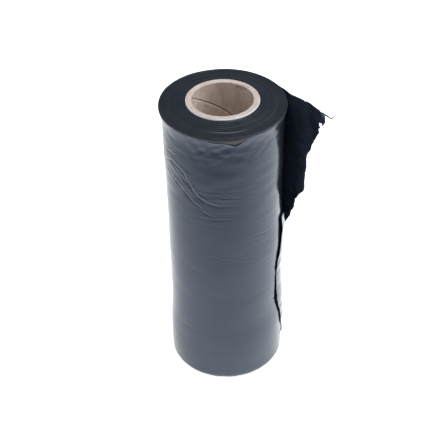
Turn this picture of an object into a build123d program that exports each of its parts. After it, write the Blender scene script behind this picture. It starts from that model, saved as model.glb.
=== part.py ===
from build123d import *

import os
from math import cos, radians, sin

# Roll of black stretch wrap on a spiral-wound cardboard core, standing on end, with its free end torn and loose.
# Frame: millimetres, +Z along the roll, origin at the centre of the core's lower end, so the core stands on z = 0.
# Two physical pieces: the cardboard core, and the film, whose turns and loose end are one continuous web.

os.makedirs("parts", exist_ok=True)

# ---- driving dimensions, mm ------------------------------------------------
CORE_BORE_R = 38.1          # 76.2 mm (3 inch) bore
CORE_OUTER_R = 45.8
CORE_LENGTH = 410.0         # the core stands 5 mm proud of the film's edges at each end
CORE_EDGE = 0.8             # softened outer corner of each cut end
SEAM_PITCH = 170.6          # one turn of the innermost ply's butt seam
SEAM_WIDTH = 1.3
SEAM_DEPTH = 0.4
SEAM_TOP_DEG = 175.8        # where the seam meets the upper end

FILM_BOTTOM = 5.0
FILM_TOP = 405.0            # 400 mm wide web
FACE_DISH = 1.0             # the wound end faces sit this much inside the rims
FACE_RISE = 3.0             # the upper face climbs this much again from the rim to the core
RIM_R = 79.6                # flared upper rim, where the web's edge has built up
# the wound web is drawn in slightly at the waist: (radius, height)
BODY_PROFILE = [
    (75.9, 9.0), (76.0, 30.0), (75.8, 50.0), (74.9, 74.0), (73.9, 95.0), (73.4, 125.0), (73.6, 165.0),
    (73.9, 215.0), (74.2, 265.0), (74.6, 310.0), (75.4, 350.0), (76.1, 380.0), (77.3, 392.0), (78.9, 399.0),
]

FLAP_T = 1.0                # the loose end is crumpled; its solid stands for that thickness
LEAVE_DEG = 41.0            # where the loose end leaves the roll
LEAVE_R = 77.6
FLAP_TOP = 401.0
STRIP_R = 77.6              # the lower part of the loose end stays close round the roll

# ---- helpers in plan -------------------------------------------------------


def polar(r, deg, z=0.0):
    return (r * cos(radians(deg)), r * sin(radians(deg)), z)


leave = Vector(*polar(LEAVE_R, LEAVE_DEG))
along = Vector(sin(radians(LEAVE_DEG)), -cos(radians(LEAVE_DEG)), 0)   # tangent, towards the free edge
outward = Vector(cos(radians(LEAVE_DEG)), sin(radians(LEAVE_DEG)), 0)


def on_flap(s, bulge=0.0):
    p = leave + along * s + outward * bulge
    return (p.X, p.Y)


# ---- cardboard core --------------------------------------------------------
with BuildPart() as core_tube:
    with BuildSketch(Plane.XY):
        Circle(CORE_OUTER_R)
        Circle(CORE_BORE_R, mode=Mode.SUBTRACT)
    extrude(amount=CORE_LENGTH)
    chamfer(core_tube.edges().filter_by(GeomType.CIRCLE).sort_by(SortBy.RADIUS)[-2:], CORE_EDGE)
    # butt seam of the innermost ply, a shallow helical groove in the bore
    with BuildLine() as seam_path:
        Helix(pitch=SEAM_PITCH, height=CORE_LENGTH + 40.0, radius=CORE_BORE_R, center=(0, 0, -20.0))
    with BuildSketch(Plane(origin=seam_path.line @ 0, x_dir=(1, 0, 0), z_dir=seam_path.line % 0)) as seam_section:
        Rectangle(2 * SEAM_DEPTH, SEAM_WIDTH)
    seam_turn = SEAM_TOP_DEG - 360.0 * (CORE_LENGTH + 20.0) / SEAM_PITCH
    seam_cut = sweep(seam_section.sketch, path=seam_path.line, is_frenet=True, mode=Mode.PRIVATE)
    add(seam_cut.rotate(Axis.Z, seam_turn), mode=Mode.SUBTRACT)
    # chip in the upper inner edge, where the innermost ply has torn away
    with BuildSketch(Plane.XY.offset(CORE_LENGTH - 2.6)):
        with Locations(polar(CORE_BORE_R, 44.0)[:2]):
            Rectangle(3.6, 11.0, rotation=44.0)
    extrude(amount=4.0, mode=Mode.SUBTRACT)
    with BuildSketch(Plane.XY.offset(CORE_LENGTH - 1.4)):
        with Locations(polar(CORE_BORE_R, 66.0)[:2]):
            Rectangle(1.8, 4.0, rotation=66.0)
    extrude(amount=3.0, mode=Mode.SUBTRACT)
core_tube.part.label = "core_tube"

# ---- film: the wound turns -------------------------------------------------
with BuildPart() as film_roll:
    with BuildSketch(Plane.XZ) as section:
        with BuildLine():
            Polyline((CORE_OUTER_R, FILM_TOP + FACE_RISE), (CORE_OUTER_R, FILM_BOTTOM + FACE_DISH),
                     (71.5, FILM_BOTTOM + FACE_DISH), (73.6, FILM_BOTTOM))
            RadiusArc((73.6, FILM_BOTTOM), (75.9, FILM_BOTTOM + 4.0), -4.2)
            Spline(*[(r, z) for r, z in BODY_PROFILE])
            RadiusArc((78.9, 399.0), (RIM_R, 402.0), -8.0)
            RadiusArc((RIM_R, 402.0), (77.2, FILM_TOP), -3.2)
            Polyline((77.2, FILM_TOP), (74.6, FILM_TOP - FACE_DISH), (CORE_OUTER_R, FILM_TOP + FACE_RISE))
        make_face()
    revolve(axis=Axis.Z)

    # the loose end's upper part: a web leaving the roll on a tangent, torn along a ragged line
    with BuildSketch(Plane.XY.offset(190.0)) as flap_plan:
        with BuildLine() as flap_line:
            Spline(polar(73.2, 68.0)[:2], polar(75.6, 55.0)[:2], polar(LEAVE_R, LEAVE_DEG)[:2],
                   on_flap(30.0), on_flap(62.0, -1.2), on_flap(110.0, 1.5))
        trace(flap_line.line, FLAP_T)
    flap = extrude(amount=FLAP_TOP - 190.0, mode=Mode.PRIVATE)
    torn_upper = [
        (-60, 176), (12, 192), (31, 196), (37, 201), (41, 200), (46, 212), (52, 222), (53, 229), (57, 238), (58, 245),
        (60, 253), (66, 263), (72.5, 273), (72, 280), (70.5, 291), (72, 304), (73, 318), (73, 324), (76, 331),
        (80, 340), (81, 346), (84, 353), (87, 361), (93, 370), (91, 375), (99, 385), (103, 392), (99, 398), (96.5, 420), (-60, 420),
    ]
    flap_plane = Plane(origin=leave - outward * 60, x_dir=along, z_dir=outward)
    side = 1 if flap_plane.y_dir.Z > 0 else -1
    with BuildSketch(flap_plane):
        with BuildLine():
            Polyline(*[(s, side * z) for s, z in torn_upper], close=True)
        make_face()
    flap_keep = extrude(amount=120.0, mode=Mode.PRIVATE)
    flap_web = flap & flap_keep
    add(flap_web)

    # a shred still hanging from the flap's top corner
    with BuildLine(mode=Mode.PRIVATE) as shred_path:
        Spline((*on_flap(97.5), 398.2), (*on_flap(105.5), 397.0), (*on_flap(112.0), 401.0), (*on_flap(115.4), 408.0))
    with BuildSketch(Plane(origin=shred_path.line @ 0, z_dir=shred_path.line % 0), mode=Mode.PRIVATE) as shred_section:
        Circle(0.9)
    add(sweep(shred_section.sketch, path=shred_path.line, mode=Mode.PRIVATE))

    # the loose end's lower part: still close round the roll, its torn edge lifted a few millimetres
    with BuildSketch(Plane.XY.offset(14.0)):
        with BuildLine() as strip_line:
            Spline(polar(72.6, 74.0)[:2], polar(74.8, 58.0)[:2], polar(76.2, 40.0)[:2],
                   polar(STRIP_R, 20.0)[:2], polar(STRIP_R + 0.6, 0.0)[:2], polar(STRIP_R + 0.6, -24.0)[:2])
        trace(strip_line.line, FLAP_T)
    strip = extrude(amount=186.0, mode=Mode.PRIVATE)
    torn_lower = [
        (-10, 10), (6, 14), (17, 22), (21, 48), (30, 66), (24, 84), (29, 104), (34, 128), (27, 150), (30, 170),
        (24, 188), (8, 201), (-10, 204), (-60, 204), (-60, 10),
    ]
    strip_plane = Plane(origin=(60, 0, 0), x_dir=(0, -1, 0), z_dir=(1, 0, 0))
    side = 1 if strip_plane.y_dir.Z > 0 else -1
    with BuildSketch(strip_plane):
        with BuildLine():
            Polyline(*[(s, side * z) for s, z in torn_lower], close=True)
        make_face()
    strip_keep = extrude(amount=40.0, mode=Mode.PRIVATE)
    add(strip & strip_keep)
film_roll.part.label = "film_roll"

# ---- write -----------------------------------------------------------------
for piece in (core_tube, film_roll):
    export_step(piece.part, f"parts/{piece.part.label}.step")
    print(piece.part.label, "solids", len(piece.part.solids()), "volume", round(piece.part.volume),
          "box", piece.part.bounding_box())
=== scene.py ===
import math

import bpy
import numpy as np
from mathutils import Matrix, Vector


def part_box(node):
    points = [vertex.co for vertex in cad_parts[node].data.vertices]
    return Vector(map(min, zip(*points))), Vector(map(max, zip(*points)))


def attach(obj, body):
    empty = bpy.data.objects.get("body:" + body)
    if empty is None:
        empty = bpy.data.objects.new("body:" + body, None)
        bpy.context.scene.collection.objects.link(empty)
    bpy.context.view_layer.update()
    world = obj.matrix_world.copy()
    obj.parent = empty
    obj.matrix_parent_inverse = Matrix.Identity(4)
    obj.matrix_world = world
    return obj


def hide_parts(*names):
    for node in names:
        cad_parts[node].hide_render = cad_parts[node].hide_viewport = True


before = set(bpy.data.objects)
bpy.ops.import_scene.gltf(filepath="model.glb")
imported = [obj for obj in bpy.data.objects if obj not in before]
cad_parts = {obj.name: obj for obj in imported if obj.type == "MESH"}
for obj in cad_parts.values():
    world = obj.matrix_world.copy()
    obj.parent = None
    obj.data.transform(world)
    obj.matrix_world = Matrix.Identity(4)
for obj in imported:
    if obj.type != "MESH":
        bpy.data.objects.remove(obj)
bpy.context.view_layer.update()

MM = 0.001
TAU = 2 * math.pi
scene = bpy.context.scene
core_lo, core_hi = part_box("core_tube")
film_lo, film_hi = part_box("film_roll")
Z_TOP = core_hi.z / MM              # upper end of the core
CORE_R = core_hi.x / MM             # outer radius of the core
BORE_R = 38.1
WEB_LO = film_lo.z / MM
WEB_HI = WEB_LO + 400.0

# =========================================================== small tools


def smooth(a, b, x):
    t = np.clip((x - a) / (b - a), 0, 1)
    return t * t * (3 - 2 * t)


def bell(x, centre, width):
    return np.exp(-((x - centre) / width) ** 2)


def wrapdeg(d):
    return (d + 180.0) % 360.0 - 180.0


class Waves:
    """A sum of seeded waves, periodic round the roll: theta in degrees, z in mm."""

    def __init__(self, seed, count, k_max, lam_lo, lam_hi):
        rng = np.random.RandomState(seed)
        self.k = rng.randint(-k_max, k_max + 1, count)
        self.w = TAU / np.exp(rng.uniform(math.log(lam_lo), math.log(lam_hi), count))
        self.p = rng.uniform(0, TAU, count)
        self.a = rng.uniform(0.5, 1.0, count) / math.sqrt(count * 0.3)

    def __call__(self, th, z):
        out = np.zeros(np.broadcast(th, z).shape)
        for k, w, p, a in zip(self.k, self.w, self.p, self.a):
            out += a * np.cos(np.radians(th) * k + z * w + p)
        return out


class Wander:
    """Smooth seeded one-dimensional noise: linear and cosine-eased between random knots."""

    def __init__(self, seed, step, n=4096):
        self.v = np.random.RandomState(seed).uniform(-1, 1, n)
        self.step, self.n = step, n

    def __call__(self, x):
        t = np.asarray(x, float) / self.step + 1000.0
        i = np.floor(t).astype(int)
        f = t - i
        f = f * f * (3 - 2 * f)
        return self.v[i % self.n] * (1 - f) + self.v[(i + 1) % self.n] * f


def grid_faces(rows, cols, closed=False):
    i, j = np.meshgrid(np.arange(rows - 1), np.arange(cols if closed else cols - 1), indexing="ij")
    a = i * cols + j
    b = i * cols + (j + 1) % cols
    return np.stack([a, b, b + cols, a + cols], -1).reshape(-1, 4)


def make_mesh(name, verts, faces, mats, uv=None, attrs=None, mat_index=None, sharp=None):
    """verts in mm; uv per vertex in mm."""
    me = bpy.data.meshes.new(name)
    me.from_pydata((np.asarray(verts) * MM).tolist(), [], [list(map(int, f)) for f in faces])
    me.validate(clean_customdata=False)
    me.polygons.foreach_set("use_smooth", [True] * len(me.polygons))
    for m in mats:
        me.materials.append(m)
    if mat_index is not None:
        me.polygons.foreach_set("material_index", np.asarray(mat_index, np.int32))
    if uv is not None:
        layer = me.uv_layers.new(name="web")
        loops = np.zeros(len(me.loops), np.int32)
        me.loops.foreach_get("vertex_index", loops)
        layer.data.foreach_set("uv", (np.asarray(uv) * MM)[loops].astype(np.float32).ravel())
    for key, val in (attrs or {}).items():
        at = me.attributes.new(key, "FLOAT", "POINT")
        at.data.foreach_set("value", np.asarray(val, np.float32))
    me.update()
    ob = bpy.data.objects.new(name, me)
    scene.collection.objects.link(ob)
    return ob


# =========================================================== camera
C = (0.0, -1.282413, 1.230551)
FW = (-0.00385134, 0.78598088, -0.61823881)
RT = (0.99982932, -0.00814482, -0.01658317)
UP = (0.0180695, 0.61819716, 0.78581535)
cam = bpy.data.objects.new("camera", bpy.data.cameras.new("camera"))
scene.collection.objects.link(cam)
from mathutils import Matrix
cam.matrix_world = Matrix(((RT[0], UP[0], -FW[0], C[0]), (RT[1], UP[1], -FW[1], C[1]), (RT[2], UP[2], -FW[2], C[2]), (0, 0, 0, 1)))
cam.data.sensor_width = 36.0
cam.data.lens = 101.6
cam.data.clip_start, cam.data.clip_end = 0.05, 60.0
scene.camera = cam

# =========================================================== materials


class Nodes:
    def __init__(self, name):
        self.m = bpy.data.materials.new(name)
        self.m.use_nodes = True
        self.t = self.m.node_tree
        self.t.nodes.clear()
        self.out = self.t.nodes.new("ShaderNodeOutputMaterial")
        self.b = self.t.nodes.new("ShaderNodeBsdfPrincipled")
        self.t.links.new(self.b.outputs[0], self.out.inputs[0])

    def n(self, kind, **kw):
        node = self.t.nodes.new(kind)
        for k, v in kw.items():
            if k.startswith("_"):
                setattr(node, k[1:], v)
            else:
                node.inputs[k.replace("__", " ")].default_value = v
        return node

    def link(self, a, b):
        self.t.links.new(a, b)

    def coords(self, scale, rot=(0, 0, 0), which="UV"):
        tc = self.n("ShaderNodeTexCoord")
        mp = self.n("ShaderNodeMapping")
        mp.inputs["Scale"].default_value = scale
        mp.inputs["Rotation"].default_value = rot
        self.link(tc.outputs[which], mp.inputs["Vector"])
        return mp.outputs[0]

    def noise(self, vec, scale=1.0, detail=3.0, rough=0.55, distort=0.0):
        nz = self.n("ShaderNodeTexNoise")
        nz.inputs["Scale"].default_value = scale
        nz.inputs["Detail"].default_value = detail
        nz.inputs["Roughness"].default_value = rough
        nz.inputs["Distortion"].default_value = distort
        self.link(vec, nz.inputs["Vector"])
        return nz.outputs[0]

    def ramp(self, fac, stops):
        r = self.n("ShaderNodeValToRGB")
        el = r.color_ramp.elements
        while len(el) < len(stops):
            el.new(0.5)
        for e, (p, c) in zip(el, stops):
            e.position = p
            e.color = (*c, 1) if len(c) == 3 else c
        self.link(fac, r.inputs[0])
        return r.outputs[0]

    def remap(self, fac, a, b, c, d):
        r = self.n("ShaderNodeMapRange")
        for k, v in (("From Min", a), ("From Max", b), ("To Min", c), ("To Max", d)):
            r.inputs[k].default_value = v
        self.link(fac, r.inputs["Value"])
        return r.outputs[0]

    def math(self, op, a, b):
        r = self.n("ShaderNodeMath", _operation=op)
        for i, x in enumerate((a, b)):
            if isinstance(x, (int, float)):
                r.inputs[i].default_value = x
            else:
                self.link(x, r.inputs[i])
        return r.outputs[0]

    def mix(self, fac, a, b):
        r = self.n("ShaderNodeMix", _data_type="RGBA")
        self.link(fac, r.inputs["Factor"])
        for sock, x in ((r.inputs[6], a), (r.inputs[7], b)):
            if isinstance(x, tuple):
                sock.default_value = (*x, 1)
            else:
                self.link(x, sock)
        return r.outputs[2]

    def attr(self, name):
        a = self.n("ShaderNodeAttribute", _attribute_name=name)
        return a.outputs["Fac"]

    def bump(self, height, dist, strength=1.0, normal=None):
        b = self.n("ShaderNodeBump")
        b.inputs["Strength"].default_value = strength
        b.inputs["Distance"].default_value = dist
        self.link(height, b.inputs["Height"])
        if normal is not None:
            self.link(normal, b.inputs["Normal"])
        return b.outputs[0]

    def set(self, **kw):
        for k, v in kw.items():
            sock = self.b.inputs[k.replace("__", " ")]
            if isinstance(v, bpy.types.NodeSocket):
                self.link(v, sock)
            elif isinstance(v, tuple) and len(v) == 3:
                sock.default_value = (*v, 1)
            else:
                sock.default_value = v


def film_material(name, lines=1.0, rough_lo=0.13, rough_hi=0.26, lo=(0.0085, 0.0108, 0.0175), hi=(0.0130, 0.0160, 0.0250)):
    k = Nodes(name)
    wide = k.noise(k.coords((9, 14, 1)), 1.0, 4, 0.6)
    winding = k.noise(k.coords((7, 520, 1)), 1.0, 3, 0.6, 0.15)       # fine lines round the roll
    hair = k.noise(k.coords((30, 1500, 1)), 1.0, 2, 0.5)
    crinkle = k.noise(k.coords((160, 240, 1)), 1.0, 4, 0.6, 0.6)
    dust = k.noise(k.coords((900, 900, 1)), 1.0, 2, 0.5)
    base = k.ramp(wide, [(0.3, lo), (0.7, hi)])
    # painted highlight: the mesh's wear attribute mixes the film towards pale grey (0.12, 0.135, 0.16) along its top
    # and torn edges
    wear = k.attr("wear")
    base = k.mix(wear, base, (0.12, 0.135, 0.16))
    r = k.math("ADD", k.remap(wide, 0.3, 0.7, rough_lo, rough_hi), k.remap(dust, 0.35, 0.75, -0.02, 0.05))
    h = k.math("ADD", k.math("MULTIPLY", winding, 1.0 * lines), k.math("MULTIPLY", hair, 0.28 * lines))
    h = k.math("ADD", h, k.math("MULTIPLY", crinkle, 0.3))
    k.set(Base__Color=base, Roughness=r, Normal=k.bump(h, 0.00007))
    k.set(IOR=1.68, Specular__Tint=(0.68, 0.80, 1.0))
    return k.m


def edge_material():
    """The roll's end faces: thousands of film edges, satin and ringed."""
    k = Nodes("film_edges")
    radial = k.n("ShaderNodeVectorMath", _operation="LENGTH")
    tc = k.n("ShaderNodeTexCoord")
    flat = k.n("ShaderNodeVectorMath", _operation="MULTIPLY")
    flat.inputs[1].default_value = (1, 1, 0)
    k.link(tc.outputs["Object"], flat.inputs[0])
    k.link(flat.outputs[0], radial.inputs[0])
    comb = k.n("ShaderNodeCombineXYZ")
    k.link(radial.outputs["Value"], comb.inputs[0])
    rings = k.noise(comb.outputs[0], 900, 3, 0.65)
    bands = k.noise(comb.outputs[0], 170, 3, 0.6)
    patch = k.noise(k.coords((28, 28, 28), which="Object"), 1.0, 4, 0.6)
    grit = k.noise(k.coords((700, 700, 700), which="Object"), 1.0, 2, 0.5)
    mixed = k.math("ADD", k.math("MULTIPLY", bands, 0.55), k.math("MULTIPLY", patch, 0.45))
    base = k.ramp(mixed, [(0.34, (0.0055, 0.0072, 0.0115)), (0.52, (0.0085, 0.0108, 0.0165)), (0.68, (0.0145, 0.0178, 0.0260))])
    h = k.math("ADD", k.math("MULTIPLY", rings, 1.0), k.math("MULTIPLY", grit, 0.35))
    k.set(Base__Color=base, Roughness=k.remap(patch, 0.3, 0.7, 0.34, 0.46), Normal=k.bump(h, 0.00008))
    k.set(IOR=1.48)
    return k.m


def board_material(name, lo, mid, hi, rough=0.85, fibre=(90, 90, 90), lines=None, bump=0.0003):
    """Paper tube board: fibres, blotches and dark specks."""
    k = Nodes(name)
    vec = k.coords((1, 1, 1), which="Object")
    blotch = k.noise(vec, 55, 4, 0.6)
    fib = k.noise(k.coords(fibre, which="Object"), 1.0, 4, 0.65, 0.4)
    fleck = k.noise(vec, 1500, 2, 0.5)
    f = k.math("ADD", k.math("MULTIPLY", blotch, 0.45), k.math("MULTIPLY", fib, 0.55))
    col = k.ramp(f, [(0.32, lo), (0.5, mid), (0.68, hi)])
    specks = k.ramp(fleck, [(0.26, (0.55, 0.5, 0.46)), (0.34, (1, 1, 1))])
    mul = k.n("ShaderNodeMix", _data_type="RGBA", _blend_type="MULTIPLY")
    mul.inputs["Factor"].default_value = 1.0
    k.link(col, mul.inputs[6])
    k.link(specks, mul.inputs[7])
    # the grime attribute mixes the board towards dark brown: painted shade in the split, the bore and the seam, and
    # darker ply lines on the cut end
    shade_and_lines = k.attr("grime")
    col = k.mix(shade_and_lines, mul.outputs[2], (0.11, 0.085, 0.07))
    h = k.math("ADD", fib, k.math("MULTIPLY", fleck, 0.35))
    k.set(Base__Color=col, Roughness=k.remap(fib, 0.3, 0.7, rough - 0.06, rough + 0.08), Normal=k.bump(h, bump))
    k.set(Specular__IOR__Level=0.25)
    return k.m


M_WEB = film_material("film_web")
# painted light: the loose sheets get a lighter copy of the same film's colour
M_FILM_LIGHTENED = film_material("film_loose_lightened", lines=0.35, rough_lo=0.10, rough_hi=0.2, lo=(0.017, 0.021, 0.033), hi=(0.024, 0.030, 0.045))
M_EDGE = edge_material()
M_BORE = board_material("board_bore", (0.42, 0.33, 0.28), (0.54, 0.43, 0.365), (0.64, 0.52, 0.445), fibre=(160, 160, 60))
M_CUT = board_material("board_cut", (0.42, 0.345, 0.30), (0.52, 0.445, 0.395), (0.60, 0.53, 0.48), fibre=(420, 420, 420), bump=0.00045)
M_PLY = board_material("board_outer_ply", (0.70, 0.67, 0.655), (0.80, 0.78, 0.77), (0.86, 0.85, 0.845), fibre=(120, 120, 400), bump=0.00015)

# =========================================================== film: the wound side as r(theta, z)
PROFILE_Z = np.array([5, 10, 33, 45, 56, 67, 78, 89, 100, 111, 122, 144, 165, 186, 226, 266, 304, 323, 341, 359, 377, 386, 391, 395, 399, 402, 404.0])
PROFILE_R = np.array([75.6, 75.9, 75.9, 75.8, 75.5, 75.2, 74.7, 74.1, 73.8, 73.6, 73.5, 73.5, 73.8, 73.9, 74.0, 74.2, 74.5, 74.9, 75.4, 75.5, 75.8, 76.1, 76.8, 77.7, 78.7, 79.2, 79.35])
# wrinkles of the outermost turn, as lines of (angle, height); then height of the fold, its half-width, and which side its trough lies
WRINKLES = [
    ([(-160, 360), (-149, 362.6), (-140, 363)], 0.45, 1.6, 1),
    ([(-166, 342), (-147, 352), (-141, 350), (-134, 345.7), (-128.6, 341), (-125.8, 334), (-122.6, 328.6), (-118.4, 319), (-114.3, 313), (-106.4, 307.5), (-98.6, 304), (-88, 301)], 0.75, 1.8, 1),
    ([(-166, 335), (-151.7, 329.7), (-144.4, 324.6), (-135.5, 320), (-129.2, 313), (-123.4, 306.8), (-117.9, 301.6), (-112.7, 297.5), (-105, 288)], 0.70, 1.7, 1),
    ([(-138.4, 350.6), (-130.4, 346), (-123.5, 339), (-121, 333)], 0.4, 1.3, 1),
    ([(-158, 349), (-146, 341), (-136, 332), (-128, 322), (-120, 312)], 0.35, 1.8, -1),
    ([(-118.7, 320), (-110.4, 318.3), (-102.4, 318.8), (-92.7, 319.8), (-83, 316)], 0.28, 1.3, 1),
    ([(-94, 324.5), (-88, 321), (-82, 316)], 0.4, 1.1, 1),
    ([(-116, 313), (-106.5, 310.1), (-92.8, 311.9), (-83.3, 310.6), (-60, 305)], 0.25, 1.3, -1),
    ([(-112, 306.5), (-102.6, 304.5), (-92.9, 303.9), (-76, 302.8)], 0.28, 1.2, 1),
    ([(-120, 296), (-111, 291.2), (-104, 287), (-96, 286)], 0.34, 1.2, 1),
    ([(-124, 284), (-112.6, 281.3), (-100, 280.9), (-82, 282)], 0.24, 1.2, 1),
    ([(-113, 278), (-100.1, 277.2), (-84, 277.7)], 0.2, 1.1, -1),
    ([(-120, 220), (-108, 219.5), (-96.5, 218), (-85.2, 214), (-73.7, 209.4), (-58, 205)], 0.2, 1.2, 1),
    ([(-116, 213.5), (-101, 213.6), (-92, 211.6), (-78, 209.5)], 0.16, 1.1, 1),
    ([(-128, 194.2), (-112, 192)], 0.16, 1.4, 1),
    ([(-134, 159.8), (-118, 162.9), (-109, 160.6), (-96, 155)], 0.16, 1.6, 1),
    ([(-63, 232.8), (-50, 231.4), (-36, 229)], 0.18, 1.2, 1),
    ([(-60, 249), (-47, 246), (-34, 243)], 0.2, 1.3, 1),
    ([(-58, 262), (-44, 262), (-30, 259)], 0.15, 1.3, -1),
    ([(-157, 11.5), (-146, 13.5), (-134, 18.5), (-128, 22)], 0.3, 1.3, 1),
    # the same slack gathers, less strongly, on the side away from the tear
    ([(168, 372), (150, 361), (132, 346), (118, 335), (100, 329)], 0.45, 1.9, 1),
    ([(160, 352), (144, 344), (126, 328), (110, 318), (88, 313)], 0.4, 1.7, 1),
    ([(75, 352), (66, 338), (60, 318), (58, 296)], 0.45, 1.8, 1),
    ([(92, 300), (78, 296), (66, 289), (55, 274)], 0.35, 1.5, -1),
    ([(150, 262), (128, 258), (104, 262)], 0.2, 1.4, 1),
    ([(172, 118), (150, 122), (128, 119)], 0.2, 1.6, 1),
]
w_slow = Waves(11, 26, 5, 60, 260)
w_mid = Waves(12, 40, 9, 16, 46)
w_band = Waves(13, 46, 3, 4.2, 13)
w_fine = Waves(14, 40, 5, 2.9, 4.6)
w_env1 = Waves(15, 16, 4, 50, 160)
w_env2 = Waves(16, 18, 5, 40, 120)
w_loose = Waves(17, 60, 34, 9, 30)
edge_a = Wander(21, 9.0)
edge_b = Wander(22, 2.6)


def fold(th, z, pts, amp, width, side):
    """A creased line on the unrolled web: a raised fold with a trough beside it, fading at both ends."""
    p = np.array(pts, float)
    x = th + np.round((p[:, 0].mean() - th) / 360.0) * 360.0
    ux, uz = x * 1.309, z
    px, pz = p[:, 0] * 1.309, p[:, 1]
    seg = np.hypot(np.diff(px), np.diff(pz))
    total, start = seg.sum(), np.concatenate([[0], np.cumsum(seg)])
    best = np.full(ux.shape, 1e9)
    sd, along = np.zeros(ux.shape), np.zeros(ux.shape)
    for i in range(len(seg)):
        dx, dz = (px[i + 1] - px[i]) / seg[i], (pz[i + 1] - pz[i]) / seg[i]
        t = (ux - px[i]) * dx + (uz - pz[i]) * dz
        tc = np.clip(t, 0, seg[i])
        ex, ez = ux - px[i] - tc * dx, uz - pz[i] - tc * dz
        d = np.hypot(ex, ez)
        s = np.sign(dx * ez - dz * ex)
        m = d < best
        best = np.where(m, d, best)
        sd = np.where(m, d * s, sd)
        along = np.where(m, start[i] + tc, along)
    fade = np.sin(np.clip(along / total, 0, 1) * math.pi) ** 0.6
    wob = 1 + 0.35 * np.sin(along * 0.31 + amp * 40) + 0.2 * np.sin(along * 0.83 + width * 9)
    d = sd * side
    return amp * fade * wob * (0.55 * np.exp(-(d / width) ** 2) - 0.85 * np.exp(-((d + 1.7 * width) / (1.1 * width)) ** 2))


def side_radius(th, z):
    """Radius of the outermost turn in mm at angle th (degrees) and height z (mm)."""
    th, z = np.broadcast_arrays(np.asarray(th, float), np.asarray(z, float))
    r = np.interp(z, PROFILE_Z, PROFILE_R)
    body = smooth(5, 30, z) * (1 - smooth(386, 398, z))
    upper = smooth(255, 330, z)
    r = r + 0.15 * w_slow(th, z) * body
    r = r + (0.02 + 0.075 * upper) * w_mid(th, z) * body
    e1 = np.clip(0.5 + 0.5 * w_env1(th, z), 0, 1.4)
    e2 = np.clip(w_env2(th, z) - 0.1, 0, 1.2)
    r = r + (0.008 + 0.014 * e1) * w_band(th, z) * body
    fine = 0.5 * bell(z, 292, 22) * np.clip(bell(wrapdeg(th + 88), 0, 38), 0, 1) + 0.42 * bell(z, 213, 14) * bell(wrapdeg(th + 88), 0, 34)
    fine = fine + 0.16 * e2 * smooth(40, 140, z)
    r = r + 0.085 * fine * w_fine(th, z)
    # a slack lower band: a soft ledge at z 80
    ledge = 80.3 - 9.5 * smooth(-128, -170, th) + 1.2 * np.sin(np.radians(th * 2 + 40))
    strong = 0.25 + 0.75 * bell(wrapdeg(th + 140), 0, 42)
    r = r + strong * (0.22 * smooth(0.9, -0.9, z - ledge) - 0.16 * smooth(6.5, 0.9, z - ledge)) * smooth(10, 40, z)
    for pts, amp, width, side in WRINKLES:
        r = r + fold(th, z, pts, amp, width, side)
    # loose gathers under the flared rim, deepest at the front
    rim = smooth(352, 384, z) * (1 - smooth(399, 404, z))
    front = 0.35 + 0.65 * bell(wrapdeg(th + 92), 0, 30)
    r = r + 0.20 * rim * front * w_loose(th, z)
    return r


def web_top(th):
    """Height of the outermost turn's upper edge: it has slipped down a little at the front."""
    dip = 10.5 * bell(wrapdeg(th + 79), 0, 7.5) + 4.6 * bell(wrapdeg(th + 95), 0, 11) + 2.4 * bell(wrapdeg(th + 28), 0, 9)
    return 403.3 - dip - 0.9 * np.abs(edge_a(th)) - 0.35 * np.abs(edge_b(th))


def web_bottom(th):
    return WEB_LO + 0.6 + 0.5 * np.abs(edge_a(th + 400)) + 0.25 * np.abs(edge_b(th + 700))


def uneven(pieces):
    """Joined linspaces: [(start, stop, count), ...] without repeated ends."""
    out = [np.linspace(a, b, n, endpoint=False) for a, b, n in pieces]
    return np.concatenate(out)


LEAVE = 41.0
# ---- outermost turn: a sheet wrapped all the way round
th_cols = np.concatenate([uneven([(LEAVE, 0, 24), (0, -180, 222), (-180, -319, 86)]), [-319.0]])
rows_f = np.concatenate([uneven([(0, 0.2, 46), (0.2, 0.47, 62), (0.47, 0.66, 62), (0.66, 0.965, 104)]), np.linspace(0.965, 1, 16)])
TH, F = np.meshgrid(th_cols, rows_f)
ZZ = web_bottom(TH) + F * (web_top(TH) - web_bottom(TH))
RR = side_radius(TH, ZZ)
# curl of the upper and lower edges
RR = RR + 0.25 * smooth(0.985, 1.0, F) * (0.6 + 0.6 * edge_b(TH * 1.7 + 90))
RR = RR - 1.6 * smooth(0.012, 0.0, F) ** 1.5
top_ret = RR[-1:] - 0.9
bot_ret = RR[:1] - 1.2
RR = np.concatenate([bot_ret, RR, top_ret])
ZZ = np.concatenate([ZZ[:1] + 0.1, ZZ, ZZ[-1:] - 0.15])
TH = np.concatenate([TH[:1], TH, TH[-1:]])
X, Y = RR * np.cos(np.radians(TH)), RR * np.sin(np.radians(TH))
verts = np.stack([X, Y, ZZ], -1).reshape(-1, 3)
uvs = np.stack([(LEAVE - TH) * 1.309, ZZ], -1).reshape(-1, 2)
# painted highlight: the outer turn is lightened over its topmost rows and its top return row
wear = np.concatenate([np.zeros_like(F[:1]), 0.25 * smooth(0.994, 1.0, F), np.full_like(F[:1], 0.2)]).reshape(-1)
faces = grid_faces(*TH.shape)[:, ::-1]
outer_turn = make_mesh("film_outer_turn", verts, faces, [M_WEB], uv=uvs, attrs={"wear": wear})

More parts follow.
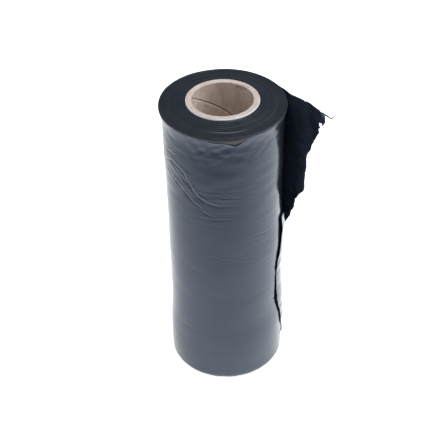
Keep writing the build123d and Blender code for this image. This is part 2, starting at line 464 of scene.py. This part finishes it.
# ---- windings: the wound mass under it, with the end faces
col = np.linspace(0, 360, 288, endpoint=False)
ring_noise = Wander(31, 1.7)
ring_wide = Wander(32, 6.0)
ring_tilt = Waves(33, 24, 6, 8, 60)
prof = []
for r in np.linspace(CORE_R - 0.05, 76.6, 66):
    prof.append(("top", r))
rim = [(77.2, 404.1), (77.7, 404.6), (78.2, 404.85), (78.7, 404.8), (79.1, 404.45), (79.35, 403.8), (79.4, 403.0), (79.3, 401.8), (79.1, 400.4), (78.7, 399.0), (78.0, 397.0), (77.0, 394.5), (76.2, 391.5), (75.6, 388.0)]
prof += [("rim", p) for p in rim]
prof += [("side", z) for z in np.linspace(382, 10, 24)]
prof += [("foot", p) for p in [(74.9, 8.2), (74.5, 6.6), (73.7, 5.5), (72.6, 5.1)]]
for r in np.linspace(71.6, CORE_R - 0.05, 44):
    prof.append(("bottom", r))
P = []
for kind, v in prof:
    if kind == "top":
        e = 403.95 + 3.95 * np.clip((74.6 - v) / 28.8, 0, 1) ** 1.1 + 0.3 * smooth(72, 76, v)
        zc = e + 0.16 * ring_noise(v) + 0.22 * ring_wide(v) + 0.10 * ring_tilt(col, v * 3.0)
        rc = np.full_like(col, v)
    elif kind == "rim":
        r0, z0 = v
        wob = 0.22 * edge_a(col * 0.9 + 55) + 0.12 * edge_b(col + 31)
        rc = r0 + wob * (0.4 if z0 > 403 else 1.0) * smooth(76, 78, r0) + 0.10 * ring_tilt(col, z0 * 2.0)
        zc = z0 + 0.22 * edge_a(col * 0.5 + 12) * smooth(76.6, 78, r0) * (1 if z0 > 398 else 0.3)
        if z0 < 404:
            lo = side_radius(col, np.full_like(col, z0)) - 0.35
            rc = np.where(z0 > web_top(col) - 1.0, rc, np.minimum(rc, lo))
    elif kind == "side":
        zc = np.full_like(col, v)
        rc = side_radius(col, zc) - 2.4
    elif kind == "foot":
        r0, z0 = v
        zc = np.full_like(col, z0)
        rc = np.full_like(col, r0 - 0.35)
    else:
        zc = WEB_LO + 0.3 + 0.14 * ring_noise(v + 90) + 0.2 * ring_wide(v + 90) + 0.10 * ring_tilt(col, v * 3.0 + 70)
        rc = np.full_like(col, v)
    P.append(np.stack([rc * np.cos(np.radians(col)), rc * np.sin(np.radians(col)), zc], -1))
P.append(P[0])
P = np.array(P[:-1])
n_prof = len(P)
V = P.reshape(-1, 3)
Fq = grid_faces(n_prof, len(col), closed=True)
last = np.stack([(n_prof - 1) * len(col) + np.arange(len(col)), (n_prof - 1) * len(col) + (np.arange(len(col)) + 1) % len(col),
                 (np.arange(len(col)) + 1) % len(col), np.arange(len(col))], -1)
Fq = np.concatenate([Fq, last])[:, ::-1]
windings = make_mesh("film_windings", V, Fq, [M_EDGE])

# =========================================================== loose end
lv = np.array([math.cos(math.radians(LEAVE)), math.sin(math.radians(LEAVE))])
tg = np.array([math.sin(math.radians(LEAVE)), -math.cos(math.radians(LEAVE))])
P0 = np.array([59.62, 51.83])       # the tangent line's start, on the flared rim
# torn edge of the flap: (distance along the web from where it leaves the roll, height)
TORN = np.array([(96.2, 401.5), (98.6, 397.7), (102.8, 392.5), (98.9, 384.8), (90.8, 374.9), (92.6, 369.9), (86.4, 360.8), (83.1, 353.2), (80.4, 345.8), (79.6, 339.3),
                 (75, 330.8), (72.9, 323.6), (73.2, 317.6), (72.7, 311.1), (71.9, 304.4), (70.7, 297.5), (70.6, 291.1), (70.8, 284.9), (72.1, 279.3), (72.4, 273), (65.6, 262.8),
                 (59.1, 252.7), (57.5, 245.2), (57, 238.4), (52.5, 229.2), (51.8, 222.1), (46, 212.1), (41.3, 202.6), (36.1, 201.3), (31.4, 195.2)])[::-1]
RIP_Z = 196.0


def flap_path(z):
    """Plan points of the web at height z: round the back of the roll, off on the tangent. Returns a function of s (mm), s < 0 on the roll."""
    def at(s):
        s = np.asarray(s, float)
        th = LEAVE + np.maximum(-s, 0) / 1.32
        lift = 0.06 + 0.5 * smooth(-22, 0, s) - 0.5 * smooth(-23, -33, s)
        rr = side_radius(th, np.broadcast_to(z, s.shape)) + lift
        on = np.stack([rr * np.cos(np.radians(th)), rr * np.sin(np.radians(th))], -1)
        rl = side_radius(np.array([LEAVE]), np.array([float(np.mean(z))]))[0] + 0.56
        off = lv * rl + np.maximum(s, 0)[..., None] * tg
        return np.where((s < 0)[..., None], on, off)
    return at


tear_n = Wander(41, 1.9)
tear_m = Wander(42, 5.5)
flap_w = Waves(43, 30, 1, 40, 240)


def edge_s(z):
    return np.interp(z, TORN[:, 1], TORN[:, 0]) + 0.40 * tear_n(z) + 0.5 * tear_m(z + 50)


def build_flap():
    nz, ns = 190, 118
    S_START = -34.0
    zs = np.linspace(RIP_Z, 401.3, nz)
    u = np.linspace(0, 1, ns)
    S = np.zeros((nz, ns)); Z = np.zeros((nz, ns)); XY = np.zeros((nz, ns, 2))
    for i, z in enumerate(zs):
        s1 = edge_s(z)
        # the rip along the bottom runs a little uphill towards the roll
        S[i] = S_START + u * (s1 - S_START)
        rise = 4.5 * smooth(40, 0, S[i]) * smooth(RIP_Z + 26, RIP_Z, z)
        sag = 0.3 * smooth(30, 75, S[i]) * smooth(385, 401, z) * (1 - smooth(88, 98, S[i]))
        nick = 1.2 * bell(S[i], 61.5, 1.4) * smooth(392, 401, z)
        Z[i] = z + rise * np.sign(1) - sag - nick
        XY[i] = flap_path(z)(S[i])
    out = S > 0
    n = lv                                     # outward normal of the flap's plane
    free = smooth(2, 26, S)
    h = np.zeros_like(S)
    # long soft folds that hang from the rim, fanning out downwards
    top = smooth(330, 401, Z)
    fan = (S - 4) / (1 + 0.9 * (401 - Z) / 200)
    h += 1.5 * free * np.sin(fan * 0.115 + 0.6) * (0.6 + 0.4 * top)
    h += 0.25 * free * np.sin(fan * 0.33 + Z * 0.011 + 1.3) * (0.3 + 0.7 * top)
    # a sharp pleat from the rim, near the roll
    crease = 9.5 + (401 - Z) * 0.235
    h += 2.3 * smooth(1, 8, S) * bell(S, crease, 3.2) * smooth(352, 372, Z) * (1 - 0.3 * smooth(396, 401, Z))
    crease2 = 3.5 + (401 - Z) * 0.05
    h += 1.1 * bell(S, crease2, 1.7) * smooth(345, 366, Z)
    # the lower part swings in towards the roll and buckles along the tear
    low = smooth(300, 205, Z)
    h -= 5.5 * low * smooth(0, 45, S)
    near = smooth(34, 4, edge_s(Z) - S)
    h += 0.5 * near * np.sin(Z * 0.11 + 0.7 * np.sin(Z * 0.07)) * free
    h += 0.22 * near * np.sin(Z * 0.31 + S * 0.12 + 2) * free
    h += 0.35 * free * flap_w(S * 1.8, Z)
    tip = smooth(12, 0, edge_s(Z) - S) * smooth(376, 396, Z)
    h += 1.4 * tip * np.sin((S - 84) * 0.55)
    roll_in = bell(Z, 262, 9) * smooth(52, 66, S)
    h -= 2.2 * roll_in
    XY = XY + (h * out)[..., None] * n
    # painted highlight: the flap is lightened along its torn edge, at its upper corner by the rim and along its top
    # edge
    wear = np.clip(smooth(3.4, 0.2, edge_s(Z) - S) * (0.35 + 0.5 * tear_m(Z * 2 + 9)), 0, 1) + 0.6 * tip * smooth(5, 0, edge_s(Z) - S) + 0.25 * smooth(400.2, 401.3, Z + 0)
    hole = ((S - 94.5) / 3.0) ** 2 + ((Z - 383.5) / 3.6) ** 2 < 1.0
    return S, Z, XY, np.clip(wear, 0, 1), hole


def thicken(name, S, Z, XY, wear, t, mats, hole=None, uv0=0.0):
    """A closed thin web from a grid of plan points and heights."""
    nz, ns = S.shape
    P = np.concatenate([XY, Z[..., None]], -1)
    du = np.gradient(P, axis=1)
    dv = np.gradient(P, axis=0)
    N = np.cross(du, dv)
    N /= np.linalg.norm(N, axis=-1, keepdims=True) + 1e-9
    tt = t * np.ones((nz, ns))
    A = P + N * (tt / 2)[..., None]
    B = P - N * (tt / 2)[..., None]
    keep = np.ones((nz - 1, ns - 1), bool)
    if hole is not None:
        keep = ~(hole[:-1, :-1] & hole[1:, 1:])
    idx = np.arange(nz * ns).reshape(nz, ns)
    off = nz * ns
    faces = []
    q = grid_faces(nz, ns).reshape(nz - 1, ns - 1, 4)
    for f in q[keep]:
        faces.append(tuple(f))
        faces.append(tuple((f + off)[::-1]))
    # rim faces wherever a kept cell meets nothing
    K = np.pad(keep, 1)
    for i in range(nz - 1):
        for j in range(ns - 1):
            if not keep[i, j]:
                continue
            a, b, c, d = idx[i, j], idx[i, j + 1], idx[i + 1, j + 1], idx[i + 1, j]
            if not K[i, j + 1]:
                faces.append((b, a, a + off, b + off))
            if not K[i + 2, j + 1]:
                faces.append((d, c, c + off, d + off))
            if not K[i + 1, j]:
                faces.append((a, d, d + off, a + off))
            if not K[i + 1, j + 2]:
                faces.append((c, b, b + off, c + off))
    V = np.concatenate([A.reshape(-1, 3), B.reshape(-1, 3)])
    uv = np.stack([S + uv0, Z], -1).reshape(-1, 2)
    used = np.zeros(len(V), bool)
    fa = np.array(faces)
    used[fa.ravel()] = True
    remap = np.cumsum(used) - 1
    ob = make_mesh(name, V[used], remap[fa], mats, uv=np.concatenate([uv, uv])[used], attrs={"wear": np.concatenate([wear.ravel()] * 2)[used]})
    return ob


S, Z, XY, wear_f, hole = build_flap()
flap = thicken("film_flap", S, Z, XY, wear_f, 0.22, [M_FILM_LIGHTENED], hole=hole, uv0=470.0)
AREA_FLAP = float(np.trapz(edge_s(np.linspace(RIP_Z, 401.3, 400)) + 34.0, np.linspace(RIP_Z, 401.3, 400))) * 1e-6

# ---- lower strip: still close round the roll, its torn edge standing off a few millimetres
STRIP_EDGE = np.array([(6, 18), (14, -2), (24, -6), (33, -2), (45, -9), (60, -14), (76, -17), (92, -21), (108, -25), (128, -26), (150, -27), (163, -25), (172, -19), (182, -16.5),
                       (199, -16), (212, -15), (226, -14), (240, -15), (246, -13)], float)


def build_strip():
    nz, ns = 200, 84
    zs = np.linspace(7.0, 196.5, nz)
    # its top is ripped: the tongue reaches higher near its free edge
    u = np.linspace(0, 1, ns)
    S = np.zeros((nz, ns)); Z = np.zeros((nz, ns)); XY = np.zeros((nz, ns, 2)); L = np.zeros((nz, ns))
    for i, z in enumerate(zs):
        reach = np.interp(z, STRIP_EDGE[:, 0], STRIP_EDGE[:, 1]) + 0.55 * tear_n(z * 1.2 + 300) + 0.4 * tear_m(z + 420)
        th = 66.0 + u * (reach - 66.0)
        tongue = smooth(24, -12, th) * smooth(150, 196.5, z) * 46.0
        zz = z + tongue
        edge = smooth(26, 0, (th - reach) * 1.31)
        stand = 1.9 + 2.3 * bell(zz, 212, 28) + 1.5 * bell(zz, 92, 20) + 0.9 * bell(zz, 24, 14) + 0.5 * tear_m(zz * 0.6 + 60) + 0.4 * np.sin(zz * 0.11 + 1.0)
        lift = 0.08 + stand * smooth(60, 14, th) - 0.7 * edge ** 3 - 0.5 * smooth(58, 65.5, th)
        lift = np.maximum(lift, np.where(th > 57, -0.42, 0.08))
        rr = side_radius(th, zz) + lift
        S[i] = (LEAVE - th) * 1.32
        Z[i] = zz
        XY[i] = np.stack([rr * np.cos(np.radians(th)), rr * np.sin(np.radians(th))], -1)
        L[i] = (th - reach) * 1.31
    # painted highlight: the strip is lightened along its free torn edge and in patches close to it
    wear = np.clip(smooth(1.6, 0.1, L) * 0.5 + 0.25 * smooth(0.5, 1, np.abs(tear_m(Z * 2))) * smooth(3, 0, L), 0, 1)
    return S, Z, XY, wear


S2, Z2, XY2, wear_s = build_strip()
strip = thicken("film_strip", S2, Z2, XY2, wear_s, 0.22, [M_FILM_LIGHTENED], uv0=470.0)

# ---- shred hanging from the corner of the flap
pts = np.array([(95.0, 398.0, 1.3), (99.5, 397.6, 1.35), (103.5, 397.0, 1.15), (107.0, 397.3, 0.95), (110.0, 399.0, 0.8), (112.4, 401.8, 0.7), (114.2, 405.0, 0.6), (115.2, 408.2, 0.4), (115.4, 409.6, 0.15)])
t = np.linspace(0, len(pts) - 1, 60)
ss, zz_, ww = (np.interp(t, np.arange(len(pts)), pts[:, k]) for k in range(3))
rl = side_radius(np.array([LEAVE]), np.array([398.0]))[0] + 0.56
ctr = np.stack([*(lv[:, None] * rl + tg[:, None] * ss), zz_], -1)
ctr[:, :2] += (1.1 * np.sin(t * 0.9))[:, None] * lv
dirs = np.gradient(ctr, axis=0); dirs /= np.linalg.norm(dirs, axis=1, keepdims=True)
sidev = np.cross(dirs, [lv[0], lv[1], 0]); sidev /= np.linalg.norm(sidev, axis=1, keepdims=True)
nrm = np.cross(sidev, dirs)
ring = []
for a in np.linspace(0, TAU, 10, endpoint=False):
    ring.append(ctr + sidev * (np.cos(a + t * 0.35) * ww)[:, None] + nrm * (np.sin(a + t * 0.35) * ww * 0.38)[:, None])
ring = np.array(ring).transpose(1, 0, 2)
V = ring.reshape(-1, 3)
Fs = [tuple(f) for f in grid_faces(60, 10, closed=True)] + [tuple(range(9, -1, -1)), tuple(range(590, 600))]
# painted highlight: the whole shred is lightened a little
shred = make_mesh("film_shred", V, Fs, [M_FILM_LIGHTENED], uv=np.stack([np.repeat(ss, 10) + 470, np.repeat(zz_, 10)], -1), attrs={"wear": np.full(len(V), 0.12)})

# =========================================================== cardboard core
ccol = np.linspace(-180, 180, 320, endpoint=False)
rim_n, rim_m, cut_n = Wander(51, 2.3), Wander(52, 7.0), Waves(53, 40, 60, 0.8, 5.0)
PEEL = (36.0, 61.5)                 # the innermost ply has lifted away over this arc, at the top
cprof = []
for z in (0.0, 40, 120, 200, 300, 380, 402):
    cprof.append(("outer", CORE_R, z))
for r, z in ((CORE_R, 405.5), (CORE_R, 407.4), (CORE_R - 0.02, 408.8), (CORE_R - 0.18, 409.5), (CORE_R - 0.55, 409.9)):
    cprof.append(("lip", r, z))
for r in np.linspace(CORE_R - 1.1, 38.75, 20):
    cprof.append(("cut", r, 410.0))
cprof.append(("inner", 38.62, 409.75))
for z in list(np.linspace(409, 398, 8)) + list(np.linspace(390, 8, 36)) + [2.0]:
    cprof.append(("inner", 38.62, z))
cprof.append(("inner", 38.7, 0.25))
for r in np.linspace(39.3, CORE_R - 0.4, 8):
    cprof.append(("foot", r, 0.0))
CP, CG, CM = [], [], []
for kind, r, z in cprof:
    rc, zc = np.full_like(ccol, r), np.full_like(ccol, z)
    g = np.zeros_like(ccol)
    if kind == "lip":
        nick = bell(wrapdeg(ccol + 111), 0, 2.6)
        rc = rc - 0.7 * nick * smooth(406, 409, z) + 0.06 * rim_n(ccol * 0.8) * smooth(404, 409, z)
        zc = zc - 0.6 * nick * smooth(408, 409.6, z) - 0.14 * np.abs(rim_m(ccol)) * smooth(407, 409.6, z)
    if kind == "cut":
        ply = np.sin((CORE_R - r) / 0.62 * TAU)
        zc = zc - 0.10 - 0.10 * ply - 0.09 * cut_n(ccol, r * 6) - 0.14 * np.abs(rim_m(ccol))
        # a split between two plies, running back from the lifted one
        split = bell(r, 40.6 - 0.055 * (ccol - 36.0), 0.32) * smooth(33, 37, ccol) * smooth(55, 50, ccol)
        zc = zc - 1.5 * split
        # painted shade: the split is darkened strongly; the ply lines on the cut end are darkened a little as the
        # board's dark joints
        g = g + 0.85 * split + 0.10 * (ply < -0.4)
        inner = smooth(40.2, 38.8, r)
        zc = zc - inner * (0.12 + 0.30 * np.clip(rim_n(ccol * 1.3), 0, 1))
    if kind == "inner":
        rc = rc + 0.12 * rim_n(ccol * 0.7 + z) * smooth(404, 409.7, z)
        # painted shade: the whole bore wall is darkened
        g = g + 0.35
    if kind == "inner" and z > 409.5:
        zc = zc - 0.25 * np.clip(rim_n(ccol * 1.3), 0, 1)
    CP.append(np.stack([rc * np.cos(np.radians(ccol)), rc * np.sin(np.radians(ccol)), zc], -1))
    CG.append(g)
    CM.append({"outer": 2, "lip": 2, "cut": 1, "inner": 0, "foot": 1}[kind])
CP = np.array(CP)
n_c, m_c = len(CP), len(ccol)
V = CP.reshape(-1, 3)
Fc = grid_faces(n_c, m_c, closed=True)
idx_last = np.stack([(n_c - 1) * m_c + np.arange(m_c), (n_c - 1) * m_c + (np.arange(m_c) + 1) % m_c, (np.arange(m_c) + 1) % m_c, np.arange(m_c)], -1)
mi = np.repeat(np.array([CM[i + 1] if CM[i + 1] != 0 or CM[i] == 0 else CM[i] for i in range(n_c - 1)]), m_c)
mi = np.concatenate([mi, np.full(m_c, 1)])
core = make_mesh("core_board", V, np.concatenate([Fc, idx_last]), [M_BORE, M_CUT, M_PLY], attrs={"grime": np.array(CG).reshape(-1)}, mat_index=mi)

# ---- innermost ply: a helical strip with a butt seam
PITCH, LEAD = 170.6, 170.6 / 360.0
t0, t1 = -1047.0, 174.6
tc = np.arange(t0, t1, 1.25)
VP, FP, GP = [], [], []
rows = 30
vrow = np.concatenate([np.linspace(0, 0.86, 17), np.linspace(0.88, 1, 13)])
prev = None
base = 0
for t_ in tc:
    th = wrapdeg(t_)
    seam = 403.3 - LEAD * (161.7 - t_)
    lo = seam + 0.55 + 0.12 * rim_n(t_ * 0.5)
    hi = seam + PITCH - 0.55 + 0.12 * rim_n(t_ * 0.5 + 70)
    inside = smooth(PEEL[0], PEEL[0] + 2, th) * smooth(PEEL[1] + 1.5, PEEL[1], th)
    top = 410.0 - 0.12 - 0.30 * max(0.0, float(rim_n(th * 1.3))) - 0.25 * abs(float(rim_m(th))) - inside * (4.6 + 1.6 * float(rim_n(th * 1.9 + 11)))
    is_top = hi > top
    lo, hi = max(lo, 0.15), min(hi, top)
    if hi - lo < 0.4:
        prev = None
        continue
    z = lo + vrow * (hi - lo)
    r = 38.12 + 0.05 * rim_m(th * 0.6 + z * 0.12) + 0.10 * rim_n(th + z * 0.3) * smooth(402, 410, z)
    r = r + 0.30 * smooth(0.8, 0.0, hi - z) * (0.4 if is_top else 0.6) + 0.18 * smooth(0.9, 0.0, z - lo)
    c, s = math.cos(math.radians(th)), math.sin(math.radians(th))
    ring_in = np.stack([r * c, r * s, z], -1)
    back_lo = np.array([[38.66 * c, 38.66 * s, lo]])
    back_hi = np.array([[38.66 * c, 38.66 * s, hi]])
    VP.append(np.concatenate([back_lo, ring_in, back_hi]))
    # painted shade: the ply is darkened along both sides of its butt seam, and most on the seam's back faces
    shade = 0.22 * smooth(1.2, 0.0, hi - z) * (0 if is_top else 1) + 0.22 * smooth(1.2, 0.0, z - lo)
    GP.append(np.concatenate([[0.9], shade, [0.5]]))
    k = rows + 2
    if prev is not None:
        for j in range(k - 1):
            FP.append((prev + j, prev + j + 1, base + j + 1, base + j))
    prev = base
    base += k
ply = make_mesh("core_inner_ply", np.concatenate(VP), FP, [M_BORE], attrs={"grime": np.concatenate(GP)})

# ---- the lifted tongue of that ply
na, nr = 46, 9
th = np.linspace(PEEL[0] - 1.0, PEEL[1], na)
A, B = [], []
for i, a in enumerate(th):
    f = (a - th[0]) / (th[-1] - th[0])
    peel = 3.6 * f ** 1.6
    lo = 405.6 - 0.9 * f + 0.7 * float(rim_n(a * 1.9 + 11))
    hi = 409.85 + 0.25 * f
    z = np.linspace(lo, hi, nr)
    w = (z - lo) / (hi - lo)
    r = 38.35 - peel * (0.35 + 0.65 * w)
    c, s = math.cos(math.radians(a)), math.sin(math.radians(a))
    A.append(np.stack([r * c, r * s, z], -1))
    B.append(np.stack([(r + 0.5) * c, (r + 0.5) * s, z + 0.02], -1))
A, B = np.array(A), np.array(B)
off = na * nr
Fp = [tuple(f) for f in grid_faces(na, nr)] + [tuple((f + off)[::-1]) for f in grid_faces(na, nr)]
idx = np.arange(off).reshape(na, nr)
for i in range(na - 1):
    Fp.append((idx[i, 0], idx[i + 1, 0], idx[i + 1, 0] + off, idx[i, 0] + off)[::-1])
    Fp.append((idx[i, -1], idx[i + 1, -1], idx[i + 1, -1] + off, idx[i, -1] + off))
for j in range(nr - 1):
    Fp.append((idx[0, j], idx[0, j + 1], idx[0, j + 1] + off, idx[0, j] + off))
    Fp.append((idx[-1, j], idx[-1, j + 1], idx[-1, j + 1] + off, idx[-1, j] + off)[::-1])
tongue = make_mesh("core_lifted_ply", np.concatenate([A.reshape(-1, 3), B.reshape(-1, 3)]), Fp, [M_CUT], attrs={"grime": np.zeros(2 * off)})

# =========================================================== frame
for ob in (outer_turn, windings, flap, strip, shred):
    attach(ob, "root")
for ob in (core, ply, tongue):
    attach(ob, "root")
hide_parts("film_roll")
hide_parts("core_tube")

# =========================================================== stage
w = bpy.data.worlds.new("studio")
scene.world = w
w.use_nodes = True
w.node_tree.nodes["Background"].inputs[0].default_value = (0.78, 0.86, 1.0, 1)
w.node_tree.nodes["Background"].inputs[1].default_value = 0.22


def area(name, loc, target, size, power, color=(1, 1, 1), spread=180.0):
    li = bpy.data.lights.new(name, "AREA")
    li.shape = "RECTANGLE"
    li.size, li.size_y = size
    li.energy = power
    li.color = color
    li.spread = math.radians(spread)
    ob = bpy.data.objects.new(name, li)
    scene.collection.objects.link(ob)
    from mathutils import Vector
    ob.location = loc
    ob.rotation_mode = "QUATERNION"
    ob.rotation_quaternion = (Vector(target) - Vector(loc)).to_track_quat("-Z", "Y")
    return ob


area("soft_top", (0.25, -0.30, 2.1), (0.0, 0.0, 0.1), (1.2, 1.2), 26, (0.97, 0.985, 1.0))
area("soft_left", (-1.7, -0.2, 1.1), (0, 0, 0.2), (1.1, 1.5), 8, (0.93, 0.96, 1.0))
area("soft_right", (1.5, 0.1, 1.5), (0, 0, 0.2), (1.1, 1.5), 24, (0.96, 0.98, 1.0))

floor_me = bpy.data.meshes.new("floor")
floor_me.from_pydata([(-9, -9, 0), (9, -9, 0), (9, 9, 0), (-9, 9, 0)], [], [(0, 1, 2, 3)])
floor = bpy.data.objects.new("floor", floor_me)
scene.collection.objects.link(floor)
fm = Nodes("floor_pale_glowing")
fm.set(Base__Color=(0.86, 0.865, 0.875), Roughness=0.75)
# painted light: the floor glows, fully in a band along x = 0.10 beside and behind the roll, fading to nothing sideways
# and towards the camera
ftc = fm.n("ShaderNodeTexCoord")
fsep = fm.n("ShaderNodeSeparateXYZ")
fm.link(ftc.outputs["Object"], fsep.inputs[0])
fdx = fm.math("MULTIPLY", fm.math("SUBTRACT", fsep.outputs[0], 0.10), 0.6)
fdy = fm.math("MINIMUM", fm.math("ADD", fsep.outputs[1], 0.02), 0.0)
glow_dist = fm.math("SQRT", fm.math("ADD", fm.math("MULTIPLY", fdx, fdx), fm.math("MULTIPLY", fdy, fdy)), 0.0)
fm.set(Emission__Color=(1.0, 1.0, 1.0), Emission__Strength=fm.remap(glow_dist, 0.05, 0.62, 1.0, 0.0))
floor_me.materials.append(fm.m)

scene.view_settings.view_transform = "Standard"
scene.view_settings.look = "None"
scene.view_settings.exposure = 0.0
